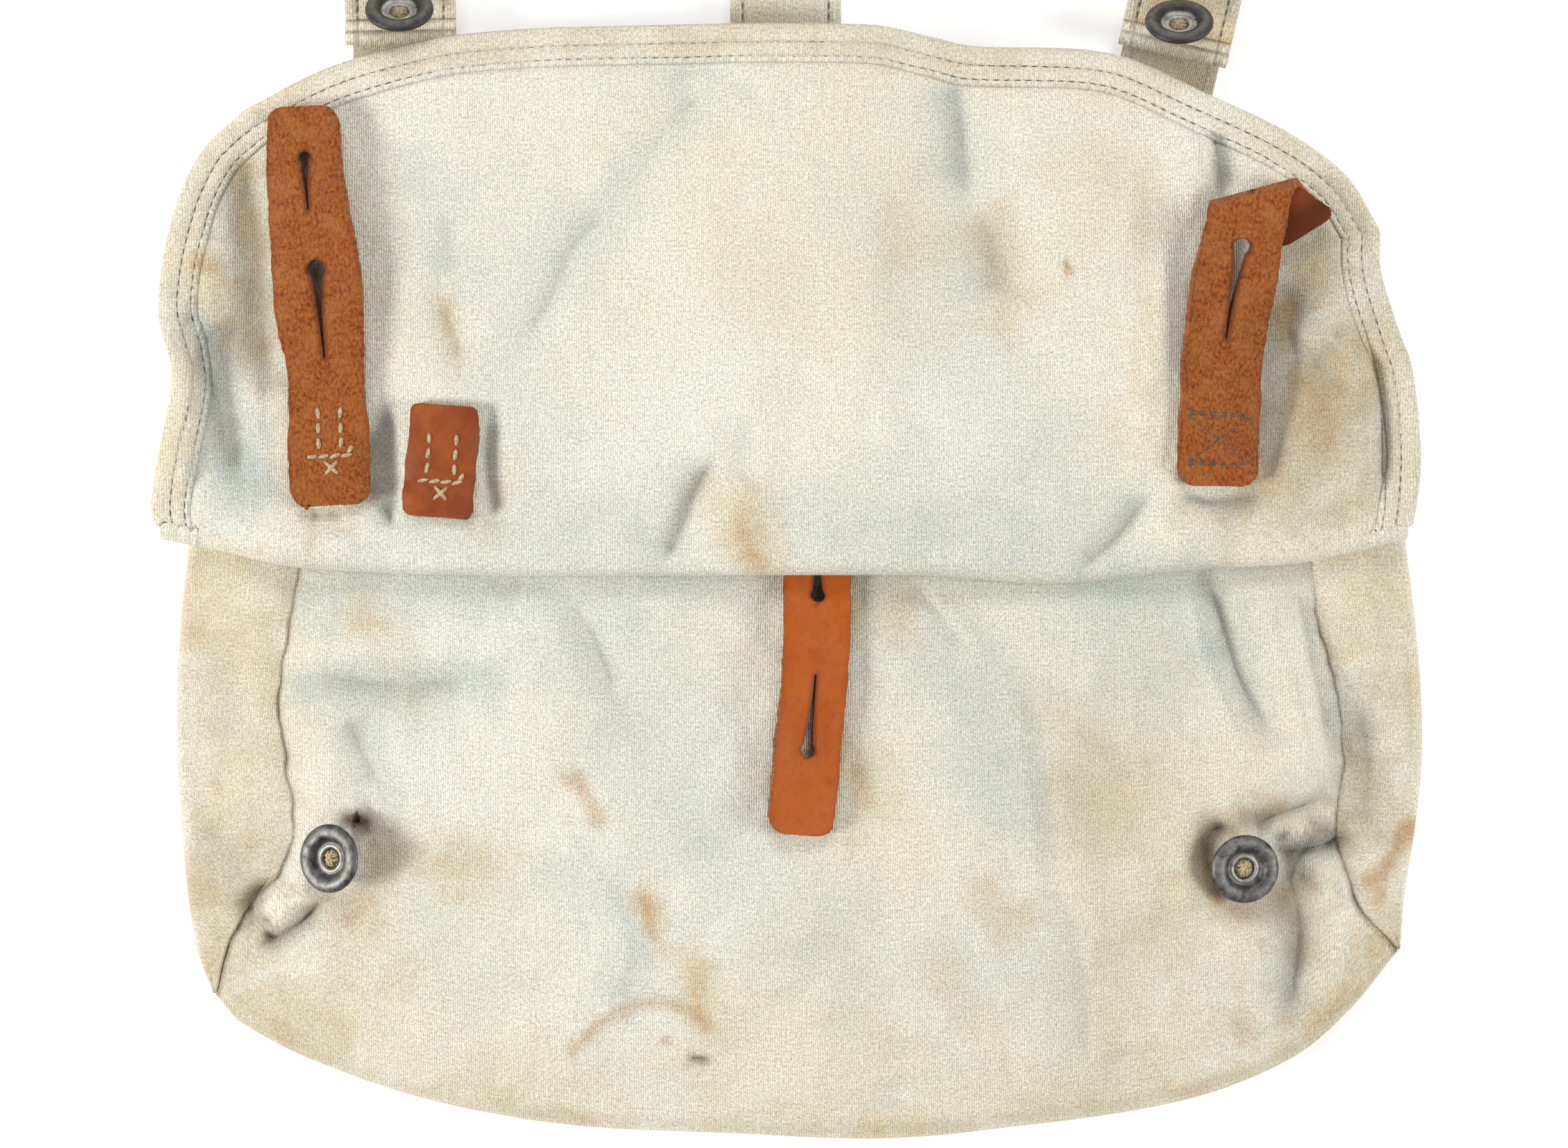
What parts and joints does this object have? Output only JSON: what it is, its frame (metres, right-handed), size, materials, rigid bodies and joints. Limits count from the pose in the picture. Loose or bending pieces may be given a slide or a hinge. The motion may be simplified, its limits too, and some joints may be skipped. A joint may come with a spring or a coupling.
{
  "type": "haversack",
  "caption": "Flat canvas haversack with side gussets, belt loops, leather button tabs and dished buttons; its flap is turned up in half.",
  "frame": {"origin": "middle of the bag's underside, on the surface that it lies on", "axes": "+Z out of the bag's front, +Y towards the belt loops, +X to the right as the front is seen"},
  "size_m": [0.3364, 0.3448, 0.0358],
  "materials": {
    "canvas": "worn unbleached canvas with tan stains",
    "strap": "worn doubled canvas",
    "rough_leather": "flesh side out",
    "grain_leather": "grain side out, satin",
    "button_metal": "dull and darkened, bright where rubbed",
    "thread": "linen thread"
  },
  "bodies": {
    "root": {"back_panel": "canvas", "front_panel": "canvas", "gusset_left": "canvas", "gusset_right": "canvas", "flap": "canvas", "belt_loop_left": "strap", "belt_loop_centre": "strap", "belt_loop_right": "strap", "tab_left": "rough_leather", "tab_centre": "grain_leather", "tab_right": "rough_leather", "patch": "grain_leather", "button_left": "button_metal", "button_thread_left": "thread", "button_right": "button_metal", "button_thread_right": "thread", "loop_button_left": "button_metal", "loop_thread_left": "thread", "loop_button_right": "button_metal", "loop_thread_right": "thread"}
  },
  "joints": []
}
